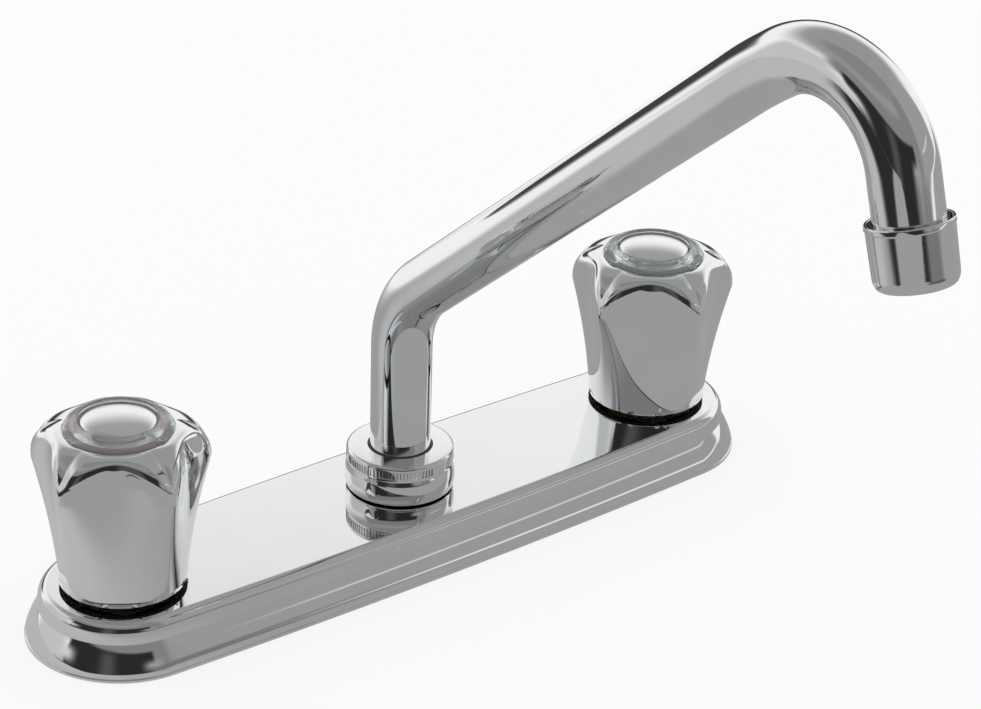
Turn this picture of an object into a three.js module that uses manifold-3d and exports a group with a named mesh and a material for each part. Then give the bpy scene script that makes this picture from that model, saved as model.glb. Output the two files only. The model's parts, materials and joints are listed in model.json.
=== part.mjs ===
// Two handle kitchen faucet on a long deck plate, with a bent swivel spout.
// Millimetres, +Z up. The origin is the centre of the underside, on the sink deck.
// +X runs towards the cold side and -Y towards the sink bowl, where the spout points.

import * as THREE from "three";
import { mergeVertices, toCreasedNormals } from "three/addons/utils/BufferGeometryUtils.js";
import Module from "manifold-3d";

const wasm = await Module();
wasm.setup();

// ---------------------------------------------------------------- driving dimensions

const INLET_CENTRES = 203.2; // 8 inch between the two sink holes
const GAP = 0.3; // between pieces that touch
const FINE = 24; // facets round a large visible piece
const COARSE = 16; // facets round a small or half hidden piece
const SMALL = 12; // facets round a screw or the pieces inside a valve
const PORT = 8; // facets round a jet or a port

const deck = {
  height: 17,
  wall: 2,
  sideBow: 2.09, // how much wider the middle is than the ends, on each side
  baseRadius: 29.65, // end radius at the foot
  lipHeight: 1.2,
  stepRise: 0.25, // slope of the little ledge at the step
  ovoloRadius: 22,
  ovoloCentreZ: -3.2,
  stepZ: 10.4, // the concave corner between the two tiers
  upperRadius: 25.4, // end radius of the upper tier
  filletStartZ: 13.7,
  flatRadius: 22.3, // end radius of the flat top
  holeClearance: 0.6, // round the valve bodies and the spout hub
};

// How many straight stretches an outline of the plate has, in each end and along each side.
const OUTSIDE = { ends: 12, sides: 4 };
const INSIDE = { ends: 8, sides: 2 };

const gasket = { thickness: 2.7, draft: 0.2 };

const shank = { radius: 10.48, bore: 7, bottomZ: -48 };
const washer = { outer: 20, thickness: 2, topZ: -12 };
const lockNut = { acrossFlats: 31, height: 7 };

const valve = {
  flange: 16.5,
  flangeTop: 6,
  barrel: 13.6,
  neck: 12.3,
  neckZ: 18,
  neckBevel: 0.5,
  top: 26,
  bore: 10.6,
  floorZ: 5,
  inletBore: 6,
};

const crossover = { outer: 3.9, bore: 3, z: 10.4 };

const cartridge = {
  body: 9.3,
  chamber: 8.4,
  bottom: 6.9,
  chamberTop: 16.6,
  stemBore: 5.7,
  flange: 12,
  flangeTop: 29,
  windowRadius: 1.7,
  windowZ: 14.4,
};

const disc = { radius: 8, thickness: 2, port: 2.6, portOffset: 4 };
const bonnet = { acrossFlats: 27, bottom: 20, top: 33, bore: 12.6, stemHole: 6.1 };

const stem = {
  plate: 8,
  plateZ: 11.8,
  plateTop: 13.1,
  shaft: 4.9,
  neck: 3.5, // under the O-ring
  ring: 4.5, // middle circle of the O-ring
  shaftTop: 37,
  shaftBevel: 0.8,
  broach: 3.6,
  top: 59.6,
  screwBore: 2.3,
  screwBoreZ: 48,
  grooveZ: 24.5,
};

const oRing = { section: 0.8, sides: 6, grooveHalf: 1.05 };

const knob = {
  bottom: 18.9,
  footRadius: 19.3,
  widestZ: 54.9,
  flare: 3.5, // straight part of the flare from foot to widest point
  flareCurve: 5.05, // curved part of the same flare
  shoulderCentre: 15, // radius where the domed shoulder is level
  shoulderHeight: 13.7,
  lobes: 5,
  fluteFoot: 19.5, // radius of a flute's middle at the foot
  fluteTopZ: 60, // a flute leans outwards up to here
  fluteGain: 2.4, // how much farther out a flute is there than at the foot
  fluteSag: 3.7, // how hollow a flute is there, from its middle to its edges
  fluteRollZ: 63.1, // above this the middle of a flute rolls back into the shoulder
  fluteRollRadius: 7.1,
  edgeBlend: 2.5,
  stepsPerFlute: 8,
  skirtSteps: 4,
  shoulderSteps: 7,
  hollow: 16.4,
  hollowBevel: 1.4,
  hollowTop: 54,
  boss: 7.6,
  bossZ: 42,
  webZ: 60,
  webTop: 61.6,
  screwHole: 2.6,
  headHole: 4.8,
  recess: 16.3,
  recessZ: 66.3,
  rimZ: 68.4,
};

const screw = { shank: 2, head: 4.2, headTop: 3.4, headHeight: 2.4, tipZ: 50 };

const index = {
  cap: 16,
  capEdgeZ: 68.9,
  capTop: 73.5,
  ringOuter: 13.2,
  ringTop: 68.8,
  dome: 10.8,
  domeEdgeZ: 69,
  domeTop: 71.8,
  crownSteps: 4,
};

// Each knob is drawn as it stands in its closed position: the bearing of one flute's middle, in degrees.
const SIDES = [
  { name: "hot", x: -INLET_CENTRES / 2, fluteBearing: -125, tint: 0xd98a8f },
  { name: "cold", x: INLET_CENTRES / 2, fluteBearing: -132.4, tint: 0x9cc4c8 },
];

const hub = { flange: 19, flangeTop: 6, barrel: 14.2, bore: 12.6, floorZ: 6, top: 26 };

const nut = {
  bottom: 17.6,
  top: 30.9,
  radius: 16.8,
  belly: 17.35,
  bellyTop: 22.2,
  bevel: 0.6,
  thread: 14.6,
  webZ: 27.5,
  hole: 10.45,
  rim: 1.1,
  rimDrop: 0.4,
  knurlZ: 26.6,
  knurlHeight: 2.9,
  teeth: 96,
  toothDepth: 0.35,
};

const spout = {
  radius: 9.45,
  bore: 8.25,
  bottom: 9,
  riseTo: 65.25, // where the first bend starts
  firstBend: 31.95,
  slope: 40.7, // degrees above level
  run: 163.5, // straight length of the arm
  easeBend: 138.5, // the arm starts to turn down on this radius
  easeAngle: 6.7,
  secondBend: 28.1,
  endAngle: 74.2, // degrees below level
  drop: 12.3, // straight length after the second bend
  bearing: 3.3, // degrees from straight ahead, towards the cold side
  tail: 4, // how far the tube reaches into the aerator
  roundSides: 18,
  boreSides: 8,
};

const bushing = {
  outer: 11.7,
  bottom: 9.5,
  neck: 10.25, // under the O-rings
  ring: 11.15, // middle circle of an O-ring
  ringHeights: { lower: 16, upper: 22 },
  flange: 13.8,
  flangeZ: 26.3,
  flangeTop: 27.2,
};
const sleeve = { outer: 10.12, bottom: 27.6, top: 31.6 };

const aerator = {
  length: 17.15,
  rim: 11.7,
  rimHeight: 1.3,
  bevel: 0.3,
  body: 11.45,
  foot: 11.2,
  edge: 9.4, // radius where the rounded edge meets the flat underside
  edgeHeight: 3.4,
  bore: 10.75,
  lip: 8.6,
  lipHeight: 1.6,
  adapterTop: -0.1,
  adapterLength: 8.4,
  washerThickness: 1.8,
  washerBore: 7.25,
  jets: 8,
  jetRadius: 1.1,
  jetCircle: 5.4,
};

// ---------------------------------------------------------------- materials

const paint = (color, roughness, metalness, opacity = 1) =>
  new THREE.MeshStandardMaterial({ color, roughness, metalness, opacity, transparent: opacity < 1 });

const chrome = paint(0xd9dbdc, 0.06, 1);
const brass = paint(0xb8964f, 0.35, 1);
const copper = paint(0xb4673f, 0.35, 1);
const zinc = paint(0x9c9f9f, 0.45, 1);
const rubber = paint(0x1d1d1e, 0.85, 0);
const darkPlastic = paint(0x2a2b2c, 0.5, 0);
const whitePlastic = paint(0xd8d8d4, 0.5, 0);
const ceramic = paint(0xe9e6df, 0.25, 0);
const clear = paint(0xdfe3e4, 0.08, 0, 0.5);

// ---------------------------------------------------------------- solids

const radians = THREE.MathUtils.degToRad;

// A closed geometry as a solid that can be joined and cut. Facets that a profile's point on the axis
// leaves without area are dropped.
function solid(geometry) {
  const bare = geometry.clone();
  bare.deleteAttribute("normal");
  bare.deleteAttribute("uv");
  const merged = mergeVertices(bare, 1e-4);
  const facets = [];
  for (let i = 0; i < merged.index.count; i += 3) {
    const [a, b, c] = [0, 1, 2].map((k) => merged.index.getX(i + k));
    if (a !== b && b !== c && c !== a) facets.push(a, b, c);
  }
  return new wasm.Manifold(
    new wasm.Mesh({
      numProp: 3,
      vertProperties: new Float32Array(merged.attributes.position.array),
      triVerts: new Uint32Array(facets),
    }),
  );
}

function geometryOf(body) {
  const mesh = body.getMesh();
  const geometry = new THREE.BufferGeometry();
  geometry.setAttribute("position", new THREE.BufferAttribute(mesh.vertProperties, 3));
  geometry.setIndex(new THREE.BufferAttribute(mesh.triVerts, 1));
  return toCreasedNormals(geometry, radians(32));
}

const join = (first, ...others) => others.reduce((sum, other) => sum.add(other), first);
const cut = (first, ...others) => others.reduce((rest, other) => rest.subtract(other), first);

function piece(name, body, material) {
  const mesh = new THREE.Mesh(geometryOf(body), material);
  mesh.name = name;
  return mesh;
}

// Turns a closed outline of [radius, height] points round Z. It is listed outside first, going up.
function revolve(outline, facets = COARSE) {
  const points = outline.map(([r, z]) => new THREE.Vector2(r, z));
  if (outline[0][0] > 0) points.push(points[0].clone());
  return solid(new THREE.LatheGeometry(points, facets).rotateX(Math.PI / 2));
}

const ring = (outer, inner, bottom, top, facets) =>
  revolve(
    [
      [outer, bottom],
      [outer, top],
      [inner, top],
      [inner, bottom],
    ],
    facets,
  );

const rod = (radius, bottom, top, facets) =>
  revolve(
    [
      [0, bottom],
      [radius, bottom],
      [radius, top],
      [0, top],
    ],
    facets,
  );

// A level-ended prism from an outline in the XY plane.
function prism(outline, bottom, top) {
  const shape = new THREE.Shape(outline);
  const geometry = new THREE.ExtrudeGeometry(shape, { depth: top - bottom, bevelEnabled: false });
  return solid(geometry.translate(0, 0, bottom));
}

function polygon(sides, radius, turn = 0) {
  const points = [];
  for (let i = 0; i < sides; i++) {
    const angle = turn + (i / sides) * 2 * Math.PI;
    points.push(new THREE.Vector2(radius * Math.cos(angle), radius * Math.sin(angle)));
  }
  return points;
}

const hexagon = (acrossFlats) => polygon(6, acrossFlats / Math.sqrt(3));

// An O-ring about Z, by the radius of its middle circle.
const torus = (radius, z, facets) =>
  revolve(
    polygon(oRing.sides, oRing.section).map((point) => [radius + point.x, z + point.y]),
    facets,
  );

// A rod along X, from one x to another, at a height. It has a facet, and no edge, on top.
function crossRod(radius, from, to, z, facets = SMALL) {
  const length = Math.abs(to - from);
  const geometry = new THREE.CylinderGeometry(radius, radius, length, facets, 1, false, Math.PI / facets);
  geometry.rotateZ(-Math.PI / 2);
  return solid(geometry.translate((from + to) / 2, 0, z));
}

// Skins level rings of equal point count, listed from the bottom up, and closes both ends.
function loft(rings) {
  const count = rings[0].length;
  const faces = [];
  for (let level = 0; level + 1 < rings.length; level++) {
    for (let i = 0; i < count; i++) {
      const a = level * count + i;
      const b = level * count + ((i + 1) % count);
      faces.push(a, b, b + count, a, b + count, a + count);
    }
  }
  const last = (rings.length - 1) * count;
  for (const [a, b, c] of THREE.ShapeUtils.triangulateShape(rings[0], [])) {
    faces.push(a, c, b);
  }
  for (const [a, b, c] of THREE.ShapeUtils.triangulateShape(rings.at(-1), [])) {
    faces.push(last + a, last + b, last + c);
  }
  const geometry = new THREE.BufferGeometry().setFromPoints(rings.flat());
  geometry.setIndex(faces);
  return solid(geometry);
}

// Evenly spaced values from one number to another, both included.
const steps = (from, to, count) =>
  Array.from({ length: count + 1 }, (_, i) => from + ((to - from) * i) / count);

// ---------------------------------------------------------------- deck plate

// One level outline of the plate. The ends are arcs about the two inlets and the sides are long, shallow
// arcs that meet them without a corner. All the outlines are parallel to each other.
function plateOutline(endRadius, z, detail = OUTSIDE) {
  const reach = INLET_CENTRES / 2;
  const depth = (reach * reach - deck.sideBow * deck.sideBow) / (2 * deck.sideBow);
  const lean = Math.atan2(reach, depth);
  const sideRadius = Math.hypot(reach, depth) + endRadius;
  const points = [];
  for (const side of [1, -1]) {
    for (const angle of steps(-Math.PI / 2 + lean, Math.PI / 2 - lean, detail.ends)) {
      const x = side * (reach + endRadius * Math.cos(angle));
      points.push(new THREE.Vector3(x, side * endRadius * Math.sin(angle), z));
    }
    for (const angle of steps(lean, -lean, detail.sides).slice(1, -1)) {
      const y = sideRadius * Math.cos(angle) - depth;
      points.push(new THREE.Vector3(side * sideRadius * Math.sin(angle), side * y, z));
    }
  }
  return points;
}

// The moulded edge as [end radius, height] pairs from the foot to the flat top: a low lip, a quarter-round,
// a concave step, an upright and a rounded shoulder. A positive inset gives the inside of the wall.
function plateProfile(inset, roundSteps) {
  const tops = deck.height - inset;
  const step = deck.stepZ - inset / 2;
  const reach = (z) => Math.sqrt(deck.ovoloRadius ** 2 - (z - deck.ovoloCentreZ) ** 2);
  const ovolo = steps(deck.lipHeight, step, roundSteps).map((z) => [
    deck.baseRadius - reach(deck.lipHeight) + reach(z) - inset,
    z,
  ]);
  const width = deck.upperRadius - deck.flatRadius;
  const height = deck.height - deck.filletStartZ;
  const shoulder = steps(0, Math.PI / 2, roundSteps).map((angle) => [
    deck.flatRadius - inset + width * Math.cos(angle),
    tops - height + height * Math.sin(angle),
  ]);
  const corner = [deck.upperRadius - inset, step + deck.stepRise];
  return [[deck.baseRadius - inset, 0], ...ovolo, corner, ...shoulder];
}

function deckPlate() {
  const outside = loft(plateProfile(0, 4).map(([radius, z]) => plateOutline(radius, z)));
  const inside = plateProfile(deck.wall, 2).map(([radius, z]) => plateOutline(radius, z, INSIDE));
  const below = plateOutline(deck.baseRadius - deck.wall, -1, INSIDE);
  const hole = (radius, x) =>
    rod(radius + deck.holeClearance, 0, deck.height + 1, FINE).translate([x, 0, 0]);
  const valveHoles = SIDES.map(({ x }) => hole(valve.barrel, x));
  return cut(outside, loft([below, ...inside.slice(1)]), hole(hub.barrel, 0), ...valveHoles);
}

function baseGasket() {
  const radius = deck.baseRadius - deck.wall - GAP;
  const sheet = loft([
    plateOutline(radius, 0, INSIDE),
    plateOutline(radius - gasket.draft, gasket.thickness, INSIDE),
  ]);
  const hole = rod(shank.radius + GAP, -1, gasket.thickness + 1);
  const holes = SIDES.map(({ x }) => hole.translate([x, 0, 0]));
  return cut(sheet, ...holes);
}

// ---------------------------------------------------------------- waterway

// A valve body at its own axis. The port faces the spout, on the side given as +1 or -1.
function valveBody(portSide) {
  const seat = gasket.thickness + 2 * GAP;
  const outline = [
    [0, seat],
    [valve.flange, seat],
    [valve.flange, valve.flangeTop],
    [valve.barrel, valve.flangeTop],
    [valve.barrel, valve.neckZ],
    [valve.neck, valve.neckZ + valve.neckBevel],
    [valve.neck, valve.top],
    [0, valve.top],
  ];
  const body = revolve(outline, SMALL);
  const bore = rod(valve.bore, valve.floorZ, valve.top + 1, SMALL);
  const inlet = rod(valve.inletBore, 0, valve.floorZ + 1, SMALL);
  const port = crossRod(crossover.bore, 0, portSide * (valve.barrel + 1), crossover.z);
  return cut(body, bore, inlet, port);
}

function spoutHub() {
  const seat = gasket.thickness + 2 * GAP;
  const outline = [
    [0, seat],
    [hub.flange, seat],
    [hub.flange, hub.flangeTop],
    [hub.barrel, hub.flangeTop],
    [hub.barrel, hub.top],
    [0, hub.top],
  ];
  const body = revolve(outline, SMALL);
  const bore = rod(hub.bore, hub.floorZ, hub.top + 1, SMALL);
  const ports = crossRod(crossover.bore, -hub.flange, hub.flange, crossover.z);
  return cut(body, bore, ports);
}

// The tube between the spout hub and a valve body, on the side given as +1 or -1.
function crossoverTube(side) {
  const near = side * (hub.barrel + GAP);
  const far = side * (INLET_CENTRES / 2 - valve.barrel - GAP);
  return cut(
    crossRod(crossover.outer, near, far, crossover.z),
    crossRod(crossover.bore, near - side, far + side, crossover.z),
  );
}

const inletShank = () => ring(shank.radius, shank.bore, shank.bottomZ, gasket.thickness + GAP);

const mountingWasher = () =>
  ring(washer.outer, shank.radius + GAP, washer.topZ - washer.thickness, washer.topZ);

function mountingNut() {
  const top = washer.topZ - washer.thickness - GAP;
  const bottom = top - lockNut.height;
  const hole = rod(shank.radius + GAP, bottom - 1, top + 1);
  return cut(prism(hexagon(lockNut.acrossFlats), bottom, top), hole);
}

// ---------------------------------------------------------------- cartridge

const seatSeal = () =>
  ring(cartridge.body, valve.inletBore + GAP, valve.floorZ + GAP, cartridge.bottom - GAP, SMALL);

const fixedDiscZ = cartridge.bottom + GAP;
const movingDiscZ = fixedDiscZ + disc.thickness + GAP;

// A ceramic disc with one port to the side of its middle. The bearing turns the port round the axis.
function ceramicDisc(bottom, bearing) {
  const port = rod(disc.port, bottom - 1, bottom + disc.thickness + 1, PORT);
  const turned = port.translate([disc.portOffset, 0, 0]).rotate([0, 0, bearing]);
  return cut(rod(disc.radius, bottom, bottom + disc.thickness, SMALL), turned);
}

// The bearing of a moving disc's port while its valve is shut. A quarter turn brings it over the fixed port.
const shutBearing = (x) => Math.sign(x) * 90;

function cartridgeHousing() {
  const outline = [
    [cartridge.body, cartridge.bottom],
    [cartridge.body, valve.top + GAP],
    [cartridge.flange, valve.top + GAP],
    [cartridge.flange, cartridge.flangeTop],
    [cartridge.stemBore, cartridge.flangeTop],
    [cartridge.stemBore, cartridge.chamberTop],
    [cartridge.chamber, cartridge.chamberTop],
    [cartridge.chamber, cartridge.bottom],
  ];
  const span = cartridge.body + 1;
  const windows = crossRod(cartridge.windowRadius, -span, span, cartridge.windowZ, PORT);
  return cut(revolve(outline, SMALL), windows, windows.rotate([0, 0, 90]));
}

function bonnetNut() {
  const body = prism(hexagon(bonnet.acrossFlats), bonnet.bottom, bonnet.top);
  const thread = rod(bonnet.bore, bonnet.bottom - 1, cartridge.flangeTop + GAP, SMALL);
  return cut(body, thread, rod(bonnet.stemHole, bonnet.bottom, bonnet.top + 1, SMALL));
}

// The stem, with a slot in its foot plate that lets the water out of the moving disc's port.
function valveStem(bearing) {
  const grooveBottom = stem.grooveZ - oRing.grooveHalf;
  const grooveTop = stem.grooveZ + oRing.grooveHalf;
  const outline = [
    [0, stem.plateZ],
    [stem.plate, stem.plateZ],
    [stem.plate, stem.plateTop],
    [stem.shaft, stem.plateTop],
    [stem.shaft, grooveBottom],
    [stem.neck, grooveBottom],
    [stem.neck, grooveTop],
    [stem.shaft, grooveTop],
    [stem.shaft, stem.shaftTop],
    [stem.broach, stem.shaftTop + stem.shaftBevel],
    [stem.broach, stem.top],
    [stem.screwBore, stem.top],
    [stem.screwBore, stem.screwBoreZ],
    [0, stem.screwBoreZ],
  ];
  const edges = [
    [disc.portOffset, -disc.port],
    [stem.plate + 1, -disc.port],
    [stem.plate + 1, disc.port],
    [disc.portOffset, disc.port],
  ];
  const corners = edges.map(([x, y]) => new THREE.Vector2(x, y));
  const slot = prism(corners, stem.plateZ - 1, stem.plateTop);
  return cut(revolve(outline, SMALL), slot.rotate([0, 0, bearing]));
}

// ---------------------------------------------------------------- knob

// The lower of two values, with the corner between them rounded off.
function softLower(a, b, blend) {
  const near = Math.max(blend - Math.abs(a - b), 0) / blend;
  return Math.min(a, b) - (near * near * blend) / 4;
}

// Radius of a knob's lobes at a height: a flaring skirt under a domed shoulder.
function lobeRadius(z) {
  const t = (Math.min(z, knob.widestZ) - knob.bottom) / (knob.widestZ - knob.bottom);
  const skirt = knob.footRadius + knob.flare * t + knob.flareCurve * t * t;
  const rise = Math.max(z - knob.widestZ, 0) / knob.shoulderHeight;
  return knob.shoulderCentre + (skirt - knob.shoulderCentre) * Math.sqrt(1 - rise * rise);
}

// Radius of a flute's surface, by the angle from its middle and the height.
function fluteRadius(angle, z) {
  const t = (z - knob.bottom) / (knob.fluteTopZ - knob.bottom);
  const aside = ((angle * knob.lobes) / Math.PI) ** 2; // 0 in the flute's middle and 1 on a lobe's crest
  const roll = Math.max(z - knob.fluteRollZ, 0) / knob.fluteRollRadius;
  const back = knob.fluteRollRadius * (1 - Math.sqrt(1 - roll * roll)) * (1 - aside);
  const middle = knob.fluteFoot + knob.fluteGain * Math.min(t, 1) - back;
  return middle / Math.cos(angle) + knob.fluteSag * t * aside;
}

function knobRing(z, bearing) {
  const pitch = (2 * Math.PI) / knob.lobes;
  const points = [];
  for (let i = 0; i < knob.lobes * knob.stepsPerFlute; i++) {
    const turn = (i / knob.stepsPerFlute) * pitch;
    const fromMiddle = turn - pitch * Math.round(turn / pitch);
    const radius = softLower(lobeRadius(z), fluteRadius(fromMiddle, z), knob.edgeBlend);
    const angle = turn + radians(bearing);
    points.push(new THREE.Vector3(radius * Math.cos(angle), radius * Math.sin(angle), z));
  }
  return points;
}

function fluteKnob(bearing) {
  const skirt = steps(knob.bottom, knob.widestZ, knob.skirtSteps);
  const shoulderSweep = Math.asin((knob.rimZ - knob.widestZ) / knob.shoulderHeight);
  const shoulder = steps(0, shoulderSweep, knob.shoulderSteps).map(
    (angle) => knob.widestZ + knob.shoulderHeight * Math.sin(angle),
  );
  const outside = loft([...skirt, ...shoulder.slice(1)].map((z) => knobRing(z, bearing)));
  const hollow = revolve([
    [0, knob.bottom - 1],
    [knob.hollow, knob.bottom - 1],
    [knob.hollow, knob.bossZ],
    [knob.hollow - knob.hollowBevel, knob.hollowTop],
    [knob.boss, knob.hollowTop],
    [knob.boss, knob.bossZ],
    [0, knob.bossZ],
  ]);
  const socket = rod(stem.broach + GAP, knob.bossZ - 1, knob.webZ);
  const screwHole = rod(knob.screwHole, knob.webZ - 1, knob.webTop + 1);
  const headHole = rod(knob.headHole, knob.webTop, knob.recessZ + 1);
  const recess = rod(knob.recess, knob.recessZ, knob.rimZ + 1, FINE);
  return cut(outside, hollow, socket, screwHole, headHole, recess);
}

function handleScrew() {
  const seat = knob.webTop + GAP;
  return revolve(
    [
      [0, screw.tipZ],
      [screw.shank, screw.tipZ],
      [screw.shank, seat],
      [screw.head, seat],
      [screw.headTop, seat + screw.headHeight],
      [0, seat + screw.headHeight],
    ],
    SMALL,
  );
}

// The index button: a clear domed cap over a coloured ring and a smaller dome.
const indexSeat = knob.recessZ + GAP;

// A quarter ellipse as [radius, height] pairs, from its rim up to a point on the axis.
function crown(radius, edgeZ, top) {
  const angles = steps(0, Math.PI / 2, index.crownSteps).slice(0, -1);
  const rise = top - edgeZ;
  return [...angles.map((angle) => [radius * Math.cos(angle), edgeZ + rise * Math.sin(angle)]), [0, top]];
}

function indexLens() {
  const ringTop = index.ringTop + GAP;
  const ceiling = crown(index.dome + GAP, ringTop, index.domeTop + GAP).reverse();
  return revolve(
    [
      [index.cap, indexSeat],
      ...crown(index.cap, index.capEdgeZ, index.capTop),
      ...ceiling,
      [index.ringOuter + GAP, ringTop],
      [index.ringOuter + GAP, indexSeat],
    ],
    FINE,
  );
}

const indexRing = () => ring(index.ringOuter, index.dome + GAP, indexSeat, index.ringTop, FINE);

function indexDome() {
  const face = crown(index.dome, index.domeEdgeZ, index.domeTop);
  return revolve([[0, indexSeat], [index.dome, indexSeat], ...face], FINE);
}

// ---------------------------------------------------------------- spout

// The spout's centre line in its own upright plane, from the foot of the tube to its end: stations that a
// curve joins, close together only where the tube bends. x is the distance ahead and z the height.
function spoutStations() {
  const slope = radians(spout.slope);
  const down = radians(spout.endAngle);
  const ease = radians(spout.easeAngle);
  const stations = [new THREE.Vector3(0, 0, spout.bottom)];
  let heading = Math.PI / 2;
  const here = new THREE.Vector3(0, 0, spout.riseTo);
  const add = () => stations.push(here.clone());
  const straight = (length) => {
    here.x += length * Math.cos(heading);
    here.z += length * Math.sin(heading);
    add();
  };
  // Turns towards level and on downwards, along an arc in equal steps.
  const bend = (radius, sweep, count) => {
    const centreX = here.x + radius * Math.sin(heading);
    const centreZ = here.z - radius * Math.cos(heading);
    const start = heading;
    for (const turned of steps(0, sweep, count).slice(1)) {
      heading = start - turned;
      here.set(centreX - radius * Math.sin(heading), 0, centreZ + radius * Math.cos(heading));
      add();
    }
  };
  add();
  bend(spout.firstBend, Math.PI / 2 - slope, 5);
  straight(spout.run);
  bend(spout.easeBend, ease, 1);
  bend(spout.secondBend, slope - ease + down, 11);
  straight(spout.drop);
  straight(spout.tail);
  return stations;
}

// Runs through the stations one by one, so each straight stretch is a single step.
class StationCurve extends THREE.Curve {
  constructor(stations) {
    super();
    this.stations = stations;
  }
  getPoint(t, target = new THREE.Vector3()) {
    const place = t * (this.stations.length - 1);
    const before = Math.min(Math.floor(place), this.stations.length - 2);
    return target.lerpVectors(this.stations[before], this.stations[before + 1], place - before);
  }
  getPointAt(u, target) {
    return this.getPoint(u, target);
  }
  // A station's tangent lies halfway between the stretches on its two sides.
  getTangentAt(u, target = new THREE.Vector3()) {
    const last = this.stations.length - 1;
    const i = Math.round(u * last);
    const unit = (a, b) => this.stations[b].clone().sub(this.stations[a]).normalize();
    const ahead = unit(Math.min(i, last - 1), Math.min(i, last - 1) + 1);
    const behind = unit(Math.max(i, 1) - 1, Math.max(i, 1));
    return target.addVectors(ahead, behind).normalize();
  }
}

function spoutTube(stations) {
  const wall = new THREE.Shape(polygon(spout.roundSides, spout.radius));
  wall.holes.push(new THREE.Path(polygon(spout.boreSides, spout.bore)));
  const path = new StationCurve(stations);
  const options = { steps: stations.length - 1, extrudePath: path, bevelEnabled: false };
  return solid(new THREE.ExtrudeGeometry(wall, options));
}

// The sleeve on the tube's foot that carries the two O-rings and is held down by the spout nut.
function spoutBushing() {
  const inside = spout.radius + GAP;
  const outline = [[bushing.outer, bushing.bottom]];
  for (const z of Object.values(bushing.ringHeights)) {
    const [low, high] = [z - oRing.grooveHalf, z + oRing.grooveHalf];
    outline.push([bushing.outer, low], [bushing.neck, low]);
    outline.push([bushing.neck, high], [bushing.outer, high]);
  }
  outline.push([bushing.outer, bushing.flangeZ], [bushing.flange, bushing.flangeZ]);
  outline.push([bushing.flange, bushing.flangeTop], [inside, bushing.flangeTop], [inside, bushing.bottom]);
  return revolve(outline);
}

const bearingSleeve = () => ring(sleeve.outer, spout.radius + GAP, sleeve.bottom, sleeve.top, FINE);

// A threaded cup with a straight belly that narrows to a knurled band, just under a rounded rim.
function spoutNut() {
  const knurlTop = nut.knurlZ + nut.knurlHeight;
  const cup = revolve(
    [
      [nut.belly - nut.bevel, nut.bottom],
      [nut.belly, nut.bottom + nut.bevel],
      [nut.belly, nut.bellyTop],
      [nut.radius - nut.toothDepth, nut.knurlZ],
      [nut.radius - nut.toothDepth, nut.top - nut.rimDrop],
      [nut.radius - nut.rim, nut.top],
      [nut.hole, nut.top],
      [nut.hole, nut.webZ],
      [nut.thread, nut.webZ],
      [nut.thread, nut.bottom],
    ],
    FINE,
  );
  const outline = polygon(2 * nut.teeth, nut.radius).map((point, i) =>
    i % 2 ? point.multiplyScalar(1 - nut.toothDepth / nut.radius) : point,
  );
  const core = rod(nut.radius - 1, nut.knurlZ - 1, knurlTop + 1, FINE);
  return join(cup, cut(prism(outline, nut.knurlZ, knurlTop), core));
}

// ---------------------------------------------------------------- aerator, built downwards from its top rim

function aeratorHousing() {
  const foot = -aerator.length;
  const round = steps(0, Math.PI / 2, 3).map((angle) => [
    aerator.edge + (aerator.foot - aerator.edge) * Math.sin(angle),
    foot + aerator.edgeHeight * (1 - Math.cos(angle)),
  ]);
  return revolve(
    [
      ...round,
      [aerator.body, -aerator.rimHeight - aerator.bevel],
      [aerator.rim, -aerator.rimHeight],
      [aerator.rim, -aerator.bevel],
      [aerator.rim - aerator.bevel, 0],
      [aerator.bore, 0],
      [aerator.bore, foot + aerator.lipHeight],
      [aerator.lip, foot + aerator.lipHeight],
      [aerator.lip, foot],
    ],
    FINE,
  );
}

const adapterBottom = aerator.adapterTop - aerator.adapterLength;
const washerBottom = adapterBottom - GAP - aerator.washerThickness;

const endAdapter = () =>
  ring(aerator.bore - GAP, spout.radius + GAP, adapterBottom, aerator.adapterTop);

const aeratorWasher = () =>
  ring(aerator.bore - GAP, aerator.washerBore, washerBottom, adapterBottom - GAP);

// The insert that breaks the stream up: a disc with a circle of jets round a middle one.
function aeratorInsert() {
  const bottom = -aerator.length + aerator.lipHeight + GAP;
  const top = washerBottom - GAP;
  const jet = rod(aerator.jetRadius, bottom - 1, top + 1, PORT);
  const jets = [jet];
  for (let i = 0; i < aerator.jets; i++) {
    const angle = (i / aerator.jets) * 2 * Math.PI;
    jets.push(jet.translate([aerator.jetCircle * Math.cos(angle), aerator.jetCircle * Math.sin(angle), 0]));
  }
  return cut(rod(aerator.bore - GAP, bottom, top), ...jets);
}

// ---------------------------------------------------------------- assembly

function fixedSide({ name, x }) {
  const side = Math.sign(x);
  const group = new THREE.Group();
  group.position.x = x;
  group.add(
    piece(`${name}_valve_body`, valveBody(-side), brass),
    piece(`${name}_inlet_shank`, inletShank(), brass),
    piece(`${name}_mounting_washer`, mountingWasher(), zinc),
    piece(`${name}_mounting_nut`, mountingNut(), whitePlastic),
    piece(`${name}_seat_seal`, seatSeal(), rubber),
    piece(`${name}_fixed_disc`, ceramicDisc(fixedDiscZ, 0), ceramic),
    piece(`${name}_cartridge_housing`, cartridgeHousing(), brass),
    piece(`${name}_bonnet_nut`, bonnetNut(), brass),
  );
  return group;
}

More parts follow.
